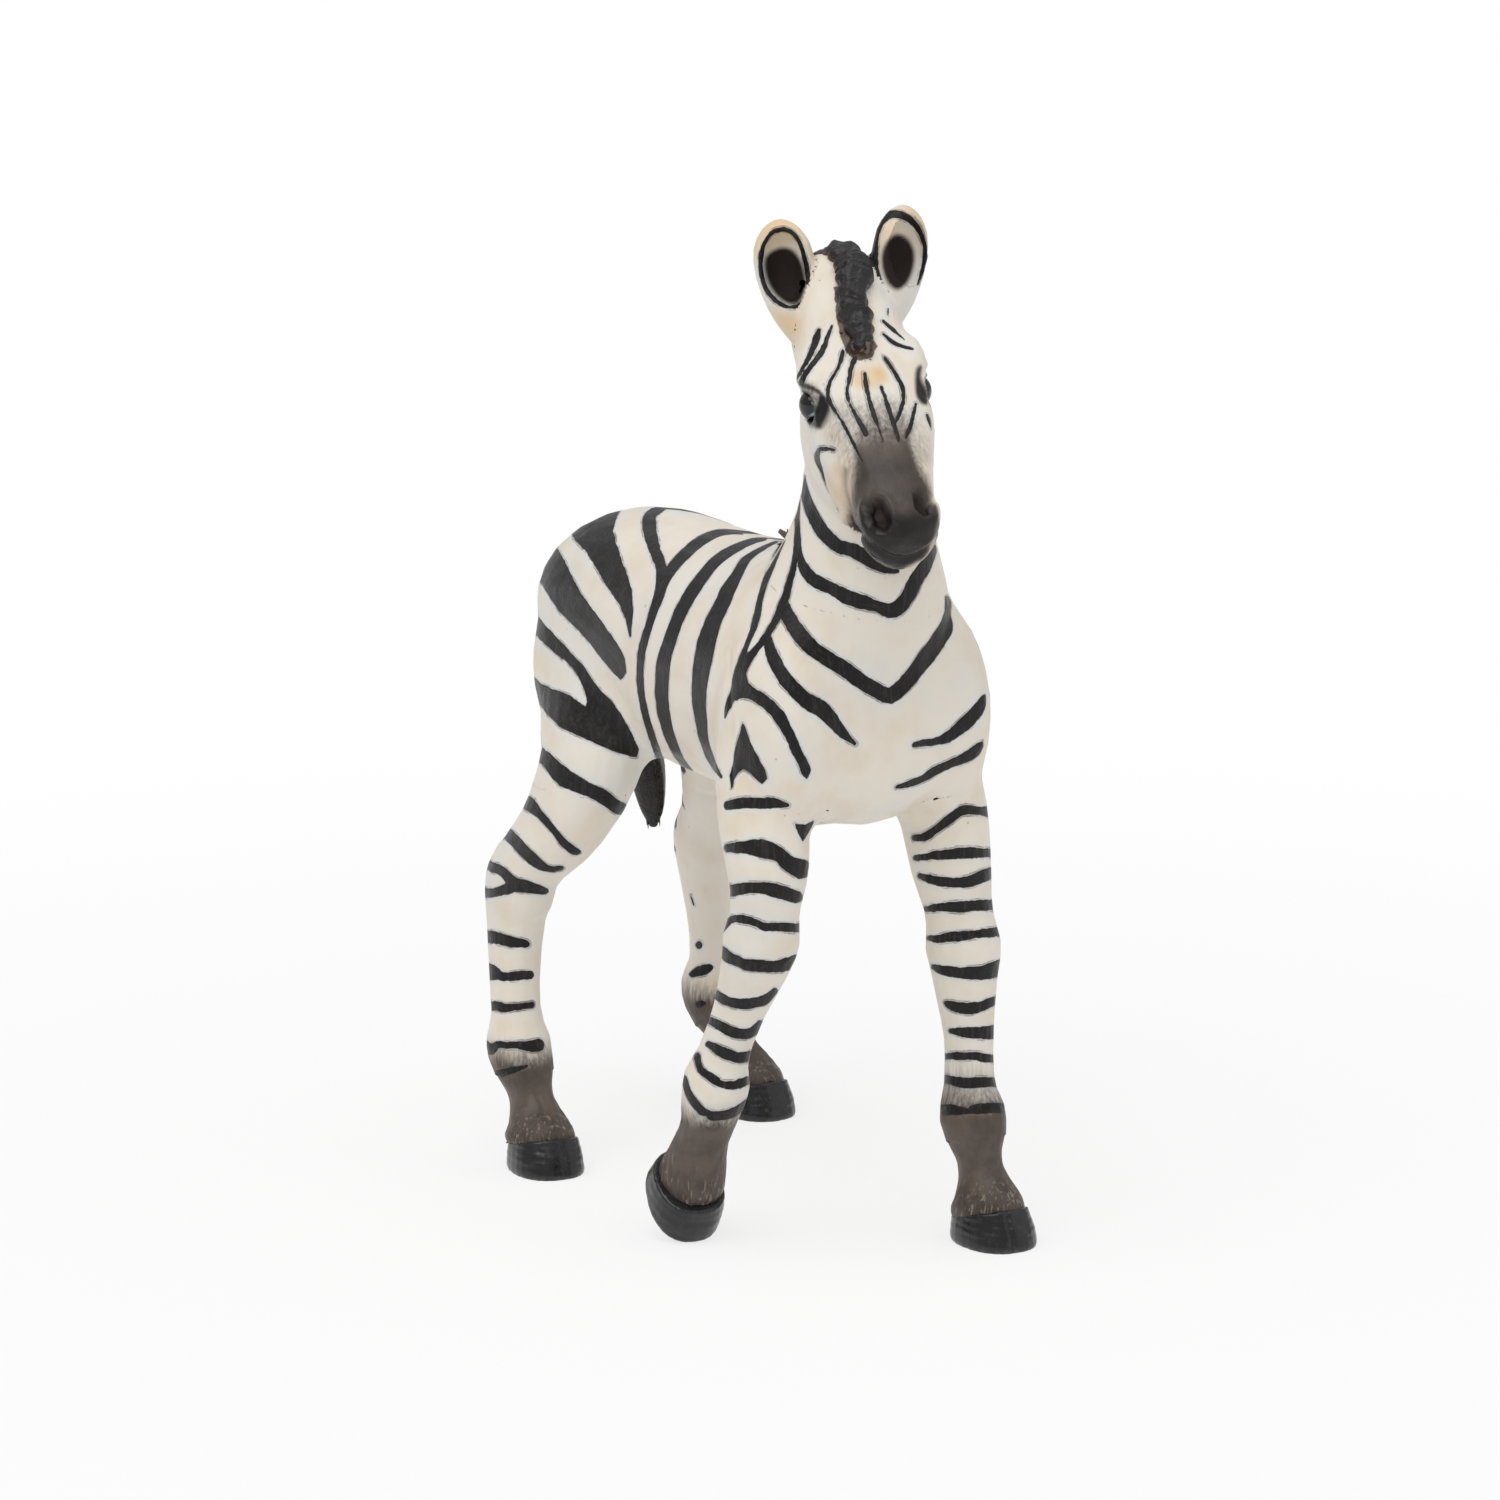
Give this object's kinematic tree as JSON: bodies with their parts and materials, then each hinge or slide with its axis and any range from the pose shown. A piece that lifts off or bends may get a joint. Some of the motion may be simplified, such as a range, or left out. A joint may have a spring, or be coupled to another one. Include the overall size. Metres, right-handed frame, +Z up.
{
  "type": "toy zebra foal figure",
  "caption": "Small moulded toy figure of a striped zebra foal in a walking pose, one fore hoof tipped on its toe, head turned to its right.",
  "frame": {"origin": "middle of the figure's bounding box on the plane it stands on", "axes": "+Z up, -Y the way the body faces, +X the animal's left"},
  "size_m": [0.0314, 0.0684, 0.085],
  "materials": {
    "coat": "satin ivory vinyl with painted dark brown stripes, engraved hair, grey muzzle and socks",
    "hoof": "glossy black paint",
    "mane": "charcoal paint, semi-matt, with hair relief",
    "eye": "glossy black paint"
  },
  "bodies": {
    "root": {"torso": "coat", "head_and_neck": "coat", "belly_pad": "coat", "front_left_leg": "coat", "front_right_leg": "coat", "hind_left_leg": "coat", "hind_right_leg": "coat", "left_ear": "coat", "right_ear": "coat", "front_left_hoof": "hoof", "front_right_hoof": "hoof", "hind_left_hoof": "hoof", "hind_right_hoof": "hoof", "mane": "mane", "tail": "mane", "left_eye": "eye", "right_eye": "eye"}
  },
  "joints": []
}
